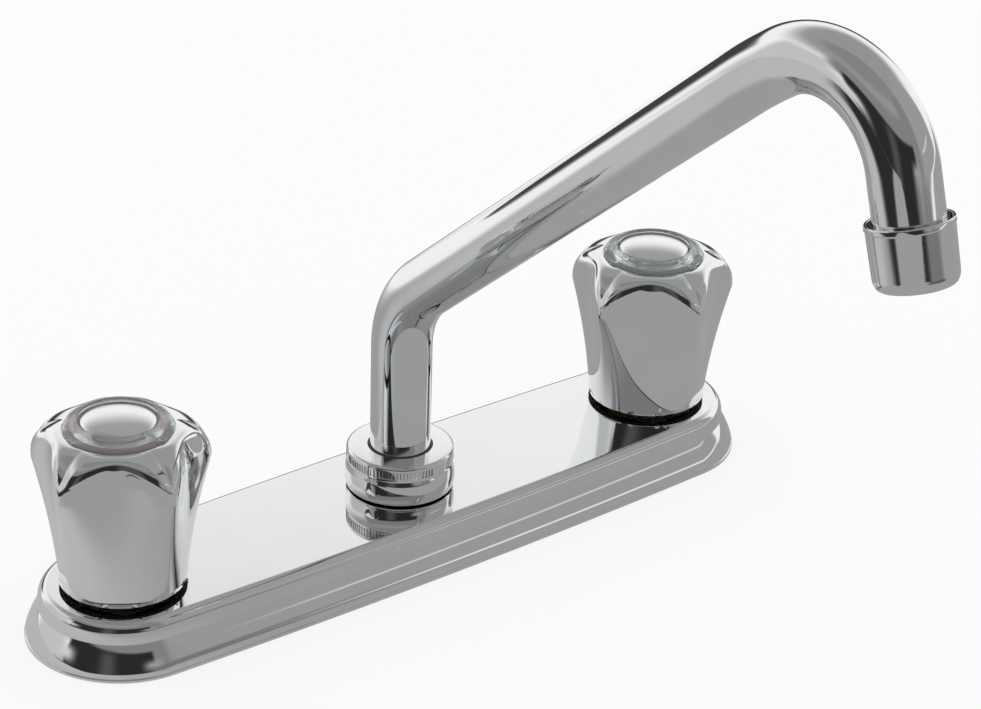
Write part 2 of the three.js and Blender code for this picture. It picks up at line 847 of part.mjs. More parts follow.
function handle({ name, x, fluteBearing, tint }) {
  const group = new THREE.Group();
  group.position.x = x;
  group.add(
    piece(`${name}_knob`, fluteKnob(fluteBearing), chrome),
    piece(`${name}_stem`, valveStem(shutBearing(x)), brass),
    piece(`${name}_stem_o_ring`, torus(stem.ring, stem.grooveZ, SMALL), rubber),
    piece(`${name}_moving_disc`, ceramicDisc(movingDiscZ, shutBearing(x)), ceramic),
    piece(`${name}_handle_screw`, handleScrew(), zinc),
    piece(`${name}_index_lens`, indexLens(), clear),
    piece(`${name}_index_ring`, indexRing(), paint(tint, 0.3, 0)),
    piece(`${name}_index_dome`, indexDome(), chrome),
  );
  return group;
}

function aeratorEnd(stations) {
  const group = new THREE.Group();
  group.position.copy(stations.at(-2));
  group.rotation.y = -(Math.PI / 2 - radians(spout.endAngle));
  group.add(
    piece("aerator_housing", aeratorHousing(), chrome),
    piece("spout_end_adapter", endAdapter(), chrome),
    piece("aerator_washer", aeratorWasher(), rubber),
    piece("aerator_insert", aeratorInsert(), whitePlastic),
  );
  return group;
}

function spoutAssembly() {
  const stations = spoutStations();
  const group = new THREE.Group();
  group.rotation.z = radians(spout.bearing) - Math.PI / 2;
  group.add(piece("spout_tube", spoutTube(stations), chrome), aeratorEnd(stations));
  group.add(
    piece("spout_bushing", spoutBushing(), brass),
    piece("spout_bearing_sleeve", bearingSleeve(), darkPlastic),
  );
  for (const [level, z] of Object.entries(bushing.ringHeights)) {
    group.add(piece(`spout_${level}_o_ring`, torus(bushing.ring, z), rubber));
  }
  return group;
}

const faucet = new THREE.Group();
faucet.add(
  piece("deck_plate", deckPlate(), chrome),
  piece("base_gasket", baseGasket(), rubber),
  piece("spout_hub", spoutHub(), brass),
  piece("cold_crossover_tube", crossoverTube(1), copper),
  piece("hot_crossover_tube", crossoverTube(-1), copper),
  piece("spout_nut", spoutNut(), chrome),
);
SIDES.forEach((side) => faucet.add(fixedSide(side), handle(side)));
faucet.add(spoutAssembly());

export default faucet;
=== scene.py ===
import json
import math

import bmesh
import bpy
from mathutils import Matrix, Vector
from mathutils.geometry import tessellate_polygon


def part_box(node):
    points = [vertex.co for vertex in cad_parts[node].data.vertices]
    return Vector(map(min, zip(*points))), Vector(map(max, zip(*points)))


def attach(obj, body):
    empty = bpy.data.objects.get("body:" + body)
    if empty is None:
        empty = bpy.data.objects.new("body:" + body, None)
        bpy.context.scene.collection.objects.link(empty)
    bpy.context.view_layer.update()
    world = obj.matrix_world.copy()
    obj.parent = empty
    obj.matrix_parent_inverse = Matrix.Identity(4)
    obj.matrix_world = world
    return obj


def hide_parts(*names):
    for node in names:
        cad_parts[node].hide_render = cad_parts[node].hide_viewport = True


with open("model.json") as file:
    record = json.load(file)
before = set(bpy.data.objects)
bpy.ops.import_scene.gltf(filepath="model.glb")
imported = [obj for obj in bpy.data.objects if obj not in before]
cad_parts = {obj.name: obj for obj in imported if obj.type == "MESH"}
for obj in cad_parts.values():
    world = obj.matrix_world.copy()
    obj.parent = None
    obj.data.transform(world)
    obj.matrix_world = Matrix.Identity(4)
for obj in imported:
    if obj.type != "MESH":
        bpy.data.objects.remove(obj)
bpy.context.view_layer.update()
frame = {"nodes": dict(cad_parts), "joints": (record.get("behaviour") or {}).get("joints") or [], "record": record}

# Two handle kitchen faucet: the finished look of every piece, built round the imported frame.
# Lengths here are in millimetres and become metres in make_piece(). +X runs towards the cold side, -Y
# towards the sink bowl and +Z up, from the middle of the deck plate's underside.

MM = 0.001


# ---------------------------------------------------------------- sizes

def node_box(node):
    """The lowest and highest corners of a CAD node, in millimetres."""
    low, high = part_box(node)
    return low / MM, high / MM


def joint_place(name):
    """The point that a joint turns about, in millimetres."""
    joint = next(j for j in frame["joints"] if j["name"] == name)
    return Vector(joint["pos_m"]) / MM


INLET_REACH = joint_place("cold_handle_turn").x  # from the spout's axis to a knob's
GAP = 0.3  # between pieces that touch, and the small bevels on turned edges

# The two knobs: where their axes are along X, and where the middle of one of their flutes looks at rest, in
# degrees from +X.
SIDES = {
    "hot": {"x": -INLET_REACH, "flute_bearing": -125.0},
    "cold": {"x": INLET_REACH, "flute_bearing": -132.4},
}

# The deck plate's moulded edge, from its foot to its flat top.
DECK_TOP = node_box("deck_plate")[1].z
DECK_FOOT = node_box("deck_plate")[1].x - INLET_REACH  # end radius at the foot
DECK_BOW = node_box("deck_plate")[1].y - DECK_FOOT  # how far the middle of each long side bows out
DECK_WALL = 2.0
BEAD_Z = 0.8  # a small bead runs round the foot, upright up to here and rounded off above
BEAD_ROUND = 0.35
LIP_HEIGHT = 2.4  # a short upright band lies between the bead and the ovolo, which starts here
OVOLO_RADIUS = 27.0
OVOLO_CENTRE_Z = -5.35
STEP_Z = 10.4  # the concave corner between the two tiers
STEP_RISE = 0.25  # the corner is this much higher at the upper tier
UPPER_RADIUS = 25.4  # end radius of the upper tier
SHOULDER_Z = 12.4  # the upper tier rounds over from here
FLAT_RADIUS = 22.3  # end radius of the flat top
FLAT_EDGE = 0.3  # the round runs out into the flat by this much
VALVE_HOLE = 14.2
HUB_HOLE = 14.8

# A knob: a flaring skirt of five lobes and flutes under a domed shoulder.
KNOB_BOTTOM = node_box("hot_knob")[0].z
KNOB_POINTS = 240  # round each level of it
KNOB_LOBES = 5
KNOB_FOOT = 19.3
WIDEST_Z = 54.9
FLARE = 3.5  # the straight part of the flare from the foot to there
FLARE_CURVE = 5.05  # the curved part of the same flare
SHOULDER_CENTRE = 15.0  # the radius where the domed shoulder is level
SHOULDER_HEIGHT = 13.7
SHOULDER_POWERS = (2.55, 1.83)  # of the superellipse over a flute's middle and over a lobe's crest
FLUTE_FOOT = 19.5  # the radius of a flute's middle at the foot
FLUTE_TOP_Z = 60.0  # a flute leans outwards up to here
FLUTE_GAIN = 1.7  # how much farther out its middle is there
FLUTE_BOW = 1.6  # the power by which it gets there: above 1 bows it
FLUTE_SAG = 4.2  # how hollow it is there, from its middle to its edges
FLUTE_ROLL_Z = 60.0  # above this its middle rolls back into the shoulder
FLUTE_ROLL_RADIUS = 22.6
FLUTE_ROLL_FADE = 0.3  # the power by which the roll fades towards a flute's edges
EDGE_BLEND = 3.5  # how widely the corner between a flute and a lobe is rounded off
RECESS = 16.3  # the radius of the recess that holds the index button
RECESS_Z = 66.3
RIM = 16.7  # the shoulder ends here, and a bevel leads into the recess
RIM_BEVEL = 0.15

# Inside a knob, downwards: the hole for the screw's head, the web with the screw hole, the socket for the
# stem in its boss, and the hollow round the boss.
HEAD_HOLE = 4.8
WEB_TOP = 61.6
SCREW_HOLE = 2.6
WEB_Z = 60.0
SOCKET = 3.9
BOSS = 7.6
BOSS_Z = 42.0
HOLLOW = 16.4
HOLLOW_TOP = 54.0
HOLLOW_BEVEL = 1.4
FOOT_BEVEL = 0.4

# The index button in the knob's top: a clear ring over a coloured one, round a satin dome.
CAP_RADIUS = 16.0
CAP_EDGE_Z = 68.9
CAP_TOP = 73.5
RING_OUTER = 13.6
RING_TOP = 68.8
DOME_RADIUS = 11.7
DOME_EDGE_Z = 70.4
DOME_TOP = 73.4
RING_ROUND = 0.2

# The spout's centre line, in its own upright plane.
TUBE_RADIUS = 9.45
TUBE_BORE = 8.25
TUBE_POINTS = 96
TUBE_BOTTOM = node_box("spout_tube")[0].z
RISE_TO = 65.25
FIRST_BEND = 31.95
SLOPE = math.radians(40.7)  # of the long run, above level
RUN = 163.5
EASE_BEND = 138.5  # a wide bend leads into the second one
EASE_ANGLE = math.radians(6.7)
SECOND_BEND = 28.1
END_ANGLE = math.radians(74.2)  # of the spout's end, below level
DROP = 12.3
TAIL = 4.0  # inside the aerator
TAIL_STATIONS = 2
SPOUT_BEARING = math.radians(3.3 - 90)  # a little to the cold side of straight over the bowl
SLEEVE_PROUD = 0.12  # the sleeve ends this far above the nut
SLEEVE_GAP = 0.1
SLEEVE_ROUNDS = (0.1, 0.05)  # of its outer and inner edge

# The nut that holds the spout down: a belly, a knurled band under a rounded rim, and a flat top.
NUT_BOTTOM = node_box("spout_nut")[0].z
NUT_TOP = node_box("spout_nut")[1].z
NUT_RADIUS = 16.8
NUT_BELLY = 17.35
NUT_BELLY_Z = 21.4  # where the belly is widest
NUT_BELLY_FALL = 0.044  # how fast it falls off above and below, per millimetre
NUT_HOLE = 10.05
NUT_THREAD = 14.6
NUT_WEB_Z = 27.5
NUT_RIM = 1.1
NUT_BEVEL = 0.2
KNURL_Z = 26.6
KNURL_TOP = 29.5
KNURL_TEETH = 96
KNURL_DEPTH = 0.35
KNURL_RUNOUTS = (0.25, 0.2)  # the slopes at the teeth's lower and upper ends

# The aerator, downwards from its top rim.
AERATOR_LENGTH = 17.15
AERATOR_RIM = 11.7
AERATOR_RIM_HEIGHT = 1.3
AERATOR_RIM_SLOPES = (0.5, 0.1)  # how much lower the rim's underside meets the body and the outside
AERATOR_BODY = 11.45
AERATOR_FOOT = 11.2
AERATOR_EDGE = 9.4
AERATOR_EDGE_HEIGHT = 3.4
AERATOR_BORE = 10.75
AERATOR_LIP = 8.6
AERATOR_LIP_HEIGHT = 1.6
INSERT_TOP = -10.9
MIDDLE_JET = 1.1  # radius
JET = 0.75  # radius of all other jets
JET_CIRCLES = ((3.1, 6), (5.6, 12))  # the radius of each circle and its number of jets

# The threaded inlets and what holds them under the sink deck.
SHANK_TOP = node_box("hot_inlet_shank")[1].z
SHANK_BOTTOM = node_box("hot_inlet_shank")[0].z
SHANK_RADIUS = 10.48
SHANK_BORE = 7.0
THREAD_PITCH = 1.814
THREAD_DEPTH = 0.9
THREAD_SLOPE = 2.6  # how steep its flanks are: above 1 leaves a flat crest
THREAD_START = 1.0  # above the shank's end
THREAD_RELIEF = 3.0  # below its top
MOUTH_BEVEL = 0.5
LOCK_NUT_CHAMFER = 1.5  # the height of the cone at each end
LOCK_NUT_CONE = (-0.3, 2.4)  # its radius beyond half the flats, at the end and where it stops
LOCK_NUT_MOUTH = 0.6
WASHER_ROUND = 0.4


# ---------------------------------------------------------------- camera

def fitted_camera():
    """The photograph's view: where it looks, from which bearing and height, and how far away."""
    bearing = math.radians(-38.88)
    height = math.radians(27.27)
    roll = math.radians(1.76)
    distance = 948.47
    target = Vector((19.82, -18.85, 64.01))
    focal_pixels = 3099.05
    frame_width = 981
    back = Vector((
        math.sin(bearing) * math.cos(height),
        -math.cos(bearing) * math.cos(height),
        math.sin(height),
    ))
    right = Vector((math.cos(bearing), math.sin(bearing), 0))
    up = back.cross(right)
    rolled_right = right * math.cos(roll) + up * math.sin(roll)
    rolled_up = up * math.cos(roll) - right * math.sin(roll)
    data = bpy.data.cameras.new("camera")
    data.sensor_width = 36
    data.lens = focal_pixels * data.sensor_width / frame_width
    data.clip_end = 20
    camera = bpy.data.objects.new("camera", data)
    turn = Matrix((rolled_right, rolled_up, back)).transposed().to_4x4()
    camera.matrix_world = Matrix.Translation((target + back * distance) * MM) @ turn
    bpy.context.scene.collection.objects.link(camera)
    bpy.context.scene.camera = camera


# ---------------------------------------------------------------- materials

# Each finish: its two colours, its lowest and highest roughness, how metallic it is, and the height of its
# relief.
FINISHES = {
    "chrome": ((0.83, 0.84, 0.845), (0.81, 0.82, 0.83), (0.025, 0.05), 1.0, 0),
    "brass": ((0.72, 0.55, 0.27), (0.66, 0.5, 0.26), (0.22, 0.4), 1.0, 0.01),
    # painted shade: the dark grey that the valve bodies take in the gap under the knobs
    "valve_painted_shade": ((0.16, 0.16, 0.16), (0.13, 0.13, 0.13), (0.5, 0.6), 0.0, 0),
    "cast": ((0.035, 0.035, 0.037), (0.025, 0.025, 0.026), (0.5, 0.7), 0.0, 0.02),
    "copper": ((0.75, 0.42, 0.27), (0.66, 0.36, 0.24), (0.25, 0.45), 1.0, 0.01),
    "zinc": ((0.6, 0.62, 0.64), (0.5, 0.52, 0.53), (0.35, 0.55), 1.0, 0.02),
    "rubber": ((0.025, 0.025, 0.026), (0.04, 0.04, 0.041), (0.6, 0.8), 0.0, 0.02),
    "dark_plastic": ((0.03, 0.03, 0.032), (0.045, 0.045, 0.048), (0.3, 0.45), 0.0, 0.01),
    "white_plastic": ((0.82, 0.82, 0.79), (0.78, 0.78, 0.75), (0.35, 0.5), 0.0, 0.02),
    "ceramic": ((0.9, 0.88, 0.84), (0.87, 0.85, 0.8), (0.15, 0.25), 0.0, 0),
    "index_hot": ((0.8, 0.42, 0.44), (0.82, 0.48, 0.5), (0.3, 0.4), 0.3, 0),
    "index_cold": ((0.5, 0.68, 0.71), (0.56, 0.73, 0.77), (0.3, 0.4), 0.3, 0),
    "index_clear": ((0.95, 0.96, 0.96), (0.92, 0.94, 0.95), (0.06, 0.12), 0.0, 0),
    "dome": ((0.87, 0.87, 0.87), (0.84, 0.84, 0.84), (0.11, 0.17), 0.95, 0),
}
DRIFT_SCALE = 60.0  # of the noise in a colour, in features per metre
ROUGH_SCALE = 140.0
RELIEF_SCALE = 900.0
NOISE_SPAN = (0.3, 0.7)  # most of a noise's values lie in here


def new_material(name):
    """A material, its nodes and its links."""
    material = bpy.data.materials.new(name)
    material.use_nodes = True
    return material, material.node_tree.nodes, material.node_tree.links


def noise(nodes, scale, detail=2.0):
    """Noise in the object's own space, at a scale in features per metre."""
    coordinates = nodes.new("ShaderNodeTexCoord")
    texture = nodes.new("ShaderNodeTexNoise")
    texture.inputs["Scale"].default_value = scale
    texture.inputs["Detail"].default_value = detail
    texture.id_data.links.new(coordinates.outputs["Object"], texture.inputs["Vector"])
    return texture


def spread(nodes, texture, low, high):
    """A noise texture's value, stretched between two numbers."""
    reach = nodes.new("ShaderNodeMapRange")
    ends = {"From Min": NOISE_SPAN[0], "From Max": NOISE_SPAN[1], "To Min": low, "To Max": high}
    for end, value in ends.items():
        reach.inputs[end].default_value = value
    reach.id_data.links.new(texture.outputs["Fac"], reach.inputs["Value"])
    return reach


def finish_material(name, colour, other_colour, rough, metallic, relief):
    """A surface whose colour and roughness each drift between two values. Where `relief` isn't 0, fine bumps
    of that height in millimetres cover it."""
    material, nodes, links = new_material(name)
    shader = nodes["Principled BSDF"]
    shader.inputs["Metallic"].default_value = metallic
    drift = noise(nodes, DRIFT_SCALE)
    roughness = spread(nodes, noise(nodes, ROUGH_SCALE, 4.0), *rough)
    links.new(roughness.outputs["Result"], shader.inputs["Roughness"])
    ramp = nodes.new("ShaderNodeValToRGB")
    for element, place, tint in zip(ramp.color_ramp.elements, NOISE_SPAN, (colour, other_colour)):
        element.position = place
        element.color = (*tint, 1)
    links.new(drift.outputs["Fac"], ramp.inputs["Fac"])
    links.new(ramp.outputs["Color"], shader.inputs["Base Color"])
    if relief:
        bumps = nodes.new("ShaderNodeBump")
        bumps.inputs["Distance"].default_value = relief * MM
        links.new(noise(nodes, RELIEF_SCALE, 3.0).outputs["Fac"], bumps.inputs["Height"])
        links.new(bumps.outputs["Normal"], shader.inputs["Normal"])
    return material


def make_materials():
    """Every finish by its name. The materials that came with the frame go."""
    for imported in list(bpy.data.materials):
        bpy.data.materials.remove(imported)
    materials = {name: finish_material(name, *finish) for name, finish in FINISHES.items()}
    clear = materials["index_clear"].node_tree.nodes["Principled BSDF"]
    clear.inputs["Transmission Weight"].default_value = 0.86
    clear.inputs["IOR"].default_value = 1.3
    return materials


# ---------------------------------------------------------------- mesh tools

SHARP_ANGLE = math.radians(32)
LATHE_POINTS = 128


def make_piece(name, vertices, faces, material, body, node, slot="chrome", flat=(), second=None):
    """A closed, smooth-shaded mesh from points in millimetres, which rides on a body and stands for a CAD
    node. Edges sharper than SHARP_ANGLE stay sharp. `flat` numbers the faces that are shaded flat, and
    `second` is another material with the numbers of its faces."""
    mesh = bpy.data.meshes.new(name)
    mesh.from_pydata([Vector(v) * MM for v in vertices], [], faces)
    mesh.shade_smooth()
    for number in flat:
        mesh.polygons[number].use_smooth = False
    mesh.materials.append(material)
    if second:
        mesh.materials.append(second[0])
        for number in second[1]:
            mesh.polygons[number].material_index = 1
    shell = bmesh.new()
    shell.from_mesh(mesh)
    bmesh.ops.remove_doubles(shell, verts=shell.verts, dist=1e-7)
    bmesh.ops.recalc_face_normals(shell, faces=shell.faces)
    shell.to_mesh(mesh)
    shell.free()
    mesh.set_sharp_from_angle(angle=SHARP_ANGLE)
    piece = bpy.data.objects.new(name, mesh)
    bpy.context.scene.collection.objects.link(piece)
    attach(piece, body)
    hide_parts(node)


def skin(rings, closed=True):
    """Vertices and faces of a skin over rings of equal point count. `closed` joins the last to the first."""
    count = len(rings[0])
    faces = []
    for level in range(len(rings) if closed else len(rings) - 1):
        above = (level + 1) % len(rings)
        for i in range(count):
            j = (i + 1) % count
            faces.append((level * count + i, level * count + j, above * count + j, above * count + i))
    return [point for ring in rings for point in ring], faces


def steps(start, end, count):
    """Numbers from one end to the other in equal steps, both ends among them."""
    return [start + (end - start) * i / count for i in range(count + 1)]


def circle(radius, z, count, centre=(0, 0), start=0.0):
    """A level circle of points, the first of them at the angle `start`."""
    x, y = centre
    angles = [start + 2 * math.pi * i / count for i in range(count)]
    return [Vector((x + radius * math.cos(a), y + radius * math.sin(a), z)) for a in angles]


def rounded(corners, arc_steps=5):
    """A closed outline of (radius, height) points. A corner's third number, if it has one, rounds it off."""
    points = []
    for i, corner in enumerate(corners):
        here = Vector(corner[:2])
        size = corner[2] if len(corner) > 2 else 0
        if not size:
            points.append(tuple(here))
            continue
        before = (Vector(corners[i - 1][:2]) - here).normalized()
        after = (Vector(corners[(i + 1) % len(corners)][:2]) - here).normalized()
        half = before.angle(after) / 2
        centre = here + (before + after).normalized() * size / math.sin(half)
        start = here + before * size / math.tan(half) - centre
        end = here + after * size / math.tan(half) - centre
        for t in steps(0, 1, arc_steps):
            points.append(tuple(centre + (start.lerp(end, t)).normalized() * size))
    return points


def lathe(outline, centre=(0, 0)):
    """A solid of revolution about an upright axis, from a closed outline of (radius, height) points."""
    on_axis = 1e-5  # a point on the axis becomes a ring too small to see
    return skin([circle(max(radius, on_axis), z, LATHE_POINTS, centre) for radius, z in outline])


def placed(vertices, matrix):
    """Vertices after a move or a turn."""
    return [matrix @ Vector(v) for v in vertices]


# ---------------------------------------------------------------- deck plate

def plate_outline(end_radius, z, end_steps=56, side_steps=36):
    """One level outline: arcs about the two inlets, joined by long shallow arcs that leave no corner."""
    depth = (INLET_REACH ** 2 - DECK_BOW ** 2) / (2 * DECK_BOW)
    lean = math.atan2(INLET_REACH, depth)
    side_radius = math.hypot(INLET_REACH, depth) + end_radius
    points = []
    for side in (1, -1):
        for angle in steps(lean - math.pi / 2, math.pi / 2 - lean, end_steps):
            x = side * (INLET_REACH + end_radius * math.cos(angle))
            points.append(Vector((x, side * end_radius * math.sin(angle), z)))
        for angle in steps(lean, -lean, side_steps)[1:-1]:
            y = side_radius * math.cos(angle) - depth
            points.append(Vector((side * side_radius * math.sin(angle), side * y, z)))
    return points


def ovolo_sag(z):
    """How far the ovolo has drawn in at a height."""
    return OVOLO_RADIUS - math.sqrt(OVOLO_RADIUS ** 2 - (z - OVOLO_CENTRE_Z) ** 2)


def plate_profile(inset, round_steps):
    """The edge as (end radius, height) pairs from the foot to the flat top. An inset makes it the inside."""
    top = DECK_TOP - inset
    step = STEP_Z - inset / 2
    band = DECK_FOOT - BEAD_ROUND - inset
    points = [(DECK_FOOT - inset, 0)]
    for angle in steps(0, math.pi / 2, round_steps // 3):
        points.append((band + BEAD_ROUND * math.cos(angle), BEAD_Z + BEAD_ROUND * math.sin(angle)))
    for z in steps(LIP_HEIGHT, step, round_steps):
        points.append((band - ovolo_sag(z) + ovolo_sag(LIP_HEIGHT), z))
    points.append((UPPER_RADIUS - inset, step + STEP_RISE))
    width = UPPER_RADIUS - FLAT_RADIUS
    height = DECK_TOP - SHOULDER_Z
    for angle in steps(0, math.pi / 2, round_steps):
        radius = FLAT_RADIUS - inset + width * math.cos(angle)
        points.append((radius, top - height + height * math.sin(angle)))
    return points


def plate_top(z, end_radius):
    """A level sheet with the two valve holes and the hub hole, and the rings of the holes."""
    holes = [(VALVE_HOLE, -INLET_REACH), (HUB_HOLE, 0), (VALVE_HOLE, INLET_REACH)]
    rings = [circle(radius, z, 64, (x, 0)) for radius, x in holes]
    loops = [plate_outline(end_radius, z), *rings]
    return [point for loop in loops for point in loop], tessellate_polygon(loops), rings


def deck_plate(material):
    """The shell: outside, inside, foot, and the level top with its three holes."""
    outside = plate_profile(0, 22) + [(FLAT_RADIUS - FLAT_EDGE, DECK_TOP)]
    inside = plate_profile(DECK_WALL, 10)
    shell = [plate_outline(radius, z) for radius, z in reversed(inside)]
    shell += [plate_outline(radius, z) for radius, z in outside]
    vertices, faces = skin(shell, closed=False)
    flat = []

    def add(points, triangles):
        first = len(vertices)
        flat.extend(range(len(faces), len(faces) + len(triangles)))
        faces.extend(tuple(first + i for i in triangle) for triangle in triangles)
        vertices.extend(points)

    upper, upper_faces, upper_rings = plate_top(DECK_TOP, FLAT_RADIUS - FLAT_EDGE)
    lower, lower_faces, lower_rings = plate_top(DECK_TOP - DECK_WALL, inside[-1][0])
    add(upper, upper_faces)
    add(lower, lower_faces)
    for above, below in zip(upper_rings, lower_rings):
        add(*skin([below, above], closed=False))
    make_piece("deck_shell", vertices, faces, material, "fixed_body", "deck_plate", flat=flat)


# ---------------------------------------------------------------- knobs

def soft_lower(a, b, blend):
    """The lower of two radii, with the corner between them rounded off."""
    near = max(blend - abs(a - b), 0) / blend
    return min(a, b) - near * near * blend / 4


def lobe_radius(z, aside):
    """A flaring skirt and a domed shoulder. `aside` is 0 over a flute's middle and 1 on a lobe's crest."""
    t = (min(z, WIDEST_Z) - KNOB_BOTTOM) / (WIDEST_Z - KNOB_BOTTOM)
    skirt = KNOB_FOOT + FLARE * t + FLARE_CURVE * t * t
    rise = max(z - WIDEST_Z, 0) / SHOULDER_HEIGHT
    over_flute, over_crest = SHOULDER_POWERS
    power = over_flute + (over_crest - over_flute) * aside
    return SHOULDER_CENTRE + (skirt - SHOULDER_CENTRE) * (1 - rise ** power) ** (1 / power)


def flute_radius(angle, z, aside):
    """The radius of a flute's surface, by the angle from its middle and the height."""
    t = (z - KNOB_BOTTOM) / (FLUTE_TOP_Z - KNOB_BOTTOM)
    roll = max(z - FLUTE_ROLL_Z, 0) / FLUTE_ROLL_RADIUS
    back = FLUTE_ROLL_RADIUS * (1 - math.sqrt(1 - roll * roll)) * max(1 - aside, 0) ** FLUTE_ROLL_FADE
    middle = FLUTE_FOOT + FLUTE_GAIN * min(t, 1) ** FLUTE_BOW - back
    return middle / math.cos(angle) + FLUTE_SAG * t * aside


def knob_ring(z, side):
    """One level of a knob's outside."""
    pitch = 2 * math.pi / KNOB_LOBES
    points = []
    for i in range(KNOB_POINTS):
        turn = 2 * math.pi * i / KNOB_POINTS
        from_middle = turn - pitch * round(turn / pitch)
        aside = (from_middle * KNOB_LOBES / math.pi) ** 2
        radius = soft_lower(lobe_radius(z, aside), flute_radius(from_middle, z, aside), EDGE_BLEND)
        angle = turn + math.radians(side["flute_bearing"])
        points.append(Vector((side["x"] + radius * math.cos(angle), radius * math.sin(angle), z)))
    return points


def knob(name, side, materials):
    """The hollow knob: its outside, the recess for the index button, and the holes for stem and screw."""
    # The domed shoulder ends where a lobe's crest has come in to the rim.
    widest = KNOB_FOOT + FLARE + FLARE_CURVE
    reach = (RIM - SHOULDER_CENTRE) / (widest - SHOULDER_CENTRE)
    power = SHOULDER_POWERS[1]
    sweep = math.asin((1 - reach ** power) ** (1 / power))
    top = WIDEST_Z + SHOULDER_HEIGHT * math.sin(sweep)
    levels = steps(KNOB_BOTTOM + GAP, WIDEST_Z, 40)
    levels += [WIDEST_Z + SHOULDER_HEIGHT * math.sin(angle) for angle in steps(0, sweep, 48)[1:]]
    recess = [
        (RECESS + RIM_BEVEL, top), (RECESS, top - RIM_BEVEL), (RECESS, RECESS_Z),
        (HEAD_HOLE, RECESS_Z), (HEAD_HOLE, WEB_TOP), (SCREW_HOLE, WEB_TOP), (SCREW_HOLE, WEB_Z),
        (SOCKET, WEB_Z), (SOCKET, BOSS_Z + GAP), (SOCKET + GAP, BOSS_Z), (BOSS - GAP, BOSS_Z),
    ]
    hollow = [
        (BOSS, BOSS_Z + GAP), (BOSS, HOLLOW_TOP - GAP), (BOSS + GAP, HOLLOW_TOP),
        (HOLLOW - HOLLOW_BEVEL, HOLLOW_TOP), (HOLLOW, HOLLOW_TOP - HOLLOW_BEVEL),
        (HOLLOW, KNOB_BOTTOM + GAP), (HOLLOW + GAP, KNOB_BOTTOM), (KNOB_FOOT - FOOT_BEVEL, KNOB_BOTTOM),
    ]
    turn = math.radians(side["flute_bearing"])
    rings = [knob_ring(z, side) for z in levels]
    rings += [circle(radius, z, KNOB_POINTS, (side["x"], 0), turn) for radius, z in recess + hollow]
    vertices, faces = skin(rings)
    # The hollow inside takes the near-black cast finish: painted shade for the unlit inside of the knob, seen in
    # the gap under it.
    cast = range((len(rings) - len(hollow)) * KNOB_POINTS, (len(rings) - 1) * KNOB_POINTS)
    make_piece(
        f"{name}_knob_shell", vertices, faces, materials["chrome"], f"{name}_handle", f"{name}_knob",
        second=(materials["cast"], cast),
    )


def crown(radius, edge_z, top, count=24):
    """A quarter ellipse from a rim up to a point on the axis."""
    angles = steps(0, math.pi / 2, count)[:-1]
    height = top - edge_z
    return [(radius * math.cos(a), edge_z + height * math.sin(a)) for a in angles] + [(0, top)]


def index_button(name, side, materials):
    """The clear ring, the coloured ring under it and the satin dome in the top of a knob."""
    seat = RECESS_Z + GAP
    inner = DOME_RADIUS + GAP
    beside_ring = RING_OUTER + GAP
    over_ring = RING_TOP + GAP
    crest = [point for point in crown(CAP_RADIUS, CAP_EDGE_Z, CAP_TOP, 40) if point[0] > inner]
    cap = [
        (CAP_RADIUS, seat), *crest, (inner, crest[-1][1]),
        (inner, over_ring), (beside_ring, over_ring), (beside_ring, seat),
    ]
    ring = rounded([
        (RING_OUTER, seat), (RING_OUTER, RING_TOP, RING_ROUND), (inner, RING_TOP, RING_ROUND), (inner, seat),
    ])
    dome = [(0, seat), (DOME_RADIUS, seat), *crown(DOME_RADIUS, DOME_EDGE_Z, DOME_TOP)]
    layers = (
        ("clear_cap", cap, "index_clear", "index_lens", "index_clear"),
        ("colour_ring", ring, f"index_{name}", "index_ring", f"index_{name}"),
        ("dome", dome, "dome", "index_dome", "chrome"),
    )
    for piece, outline, look, node, slot in layers:
        make_piece(
            f"{name}_{piece}", *lathe(outline, (side["x"], 0)), materials[look],
            f"{name}_handle", f"{name}_{node}", slot,
        )


# ---------------------------------------------------------------- spout

def spout_path():
    """The centre line as (distance ahead, height, heading) stations, close together in the bends."""
    x, z, heading = 0.0, TUBE_BOTTOM, math.pi / 2
    stations = [(x, z, heading)]

    def straight(length, count):
        nonlocal x, z
        for _ in range(count):
            x += length / count * math.cos(heading)
            z += length / count * math.sin(heading)
            stations.append((x, z, heading))

    def bend(radius, sweep, count):
        nonlocal x, z, heading
        centre_x = x + radius * math.sin(heading)
        centre_z = z - radius * math.cos(heading)
        for _ in range(count):
            heading -= sweep / count
            x = centre_x - radius * math.sin(heading)
            z = centre_z + radius * math.cos(heading)
            stations.append((x, z, heading))

    straight(RISE_TO - TUBE_BOTTOM, 6)
    bend(FIRST_BEND, math.pi / 2 - SLOPE, 28)
    straight(RUN, 14)
    bend(EASE_BEND, EASE_ANGLE, 8)
    bend(SECOND_BEND, SLOPE - EASE_ANGLE + END_ANGLE, 48)
    straight(DROP, 3)
    straight(TAIL, TAIL_STATIONS)
    return stations


def tube_ring(station, radius):
    """A ring of points square to the centre line."""
    x, z, heading = station
    ring = []
    for point in circle(radius, 0, TUBE_POINTS):
        ring.append(Vector((x - point.x * math.sin(heading), point.y, z + point.x * math.cos(heading))))
    return ring


def spout_tube(stations, turn, material):
    """The bent tube with its bore."""
    rings = [tube_ring(station, TUBE_RADIUS) for station in stations]
    rings += [tube_ring(station, TUBE_BORE) for station in reversed(stations)]
    vertices, faces = skin(rings)
    make_piece("spout_tube_shell", placed(vertices, turn), faces, material, "spout", "spout_tube")


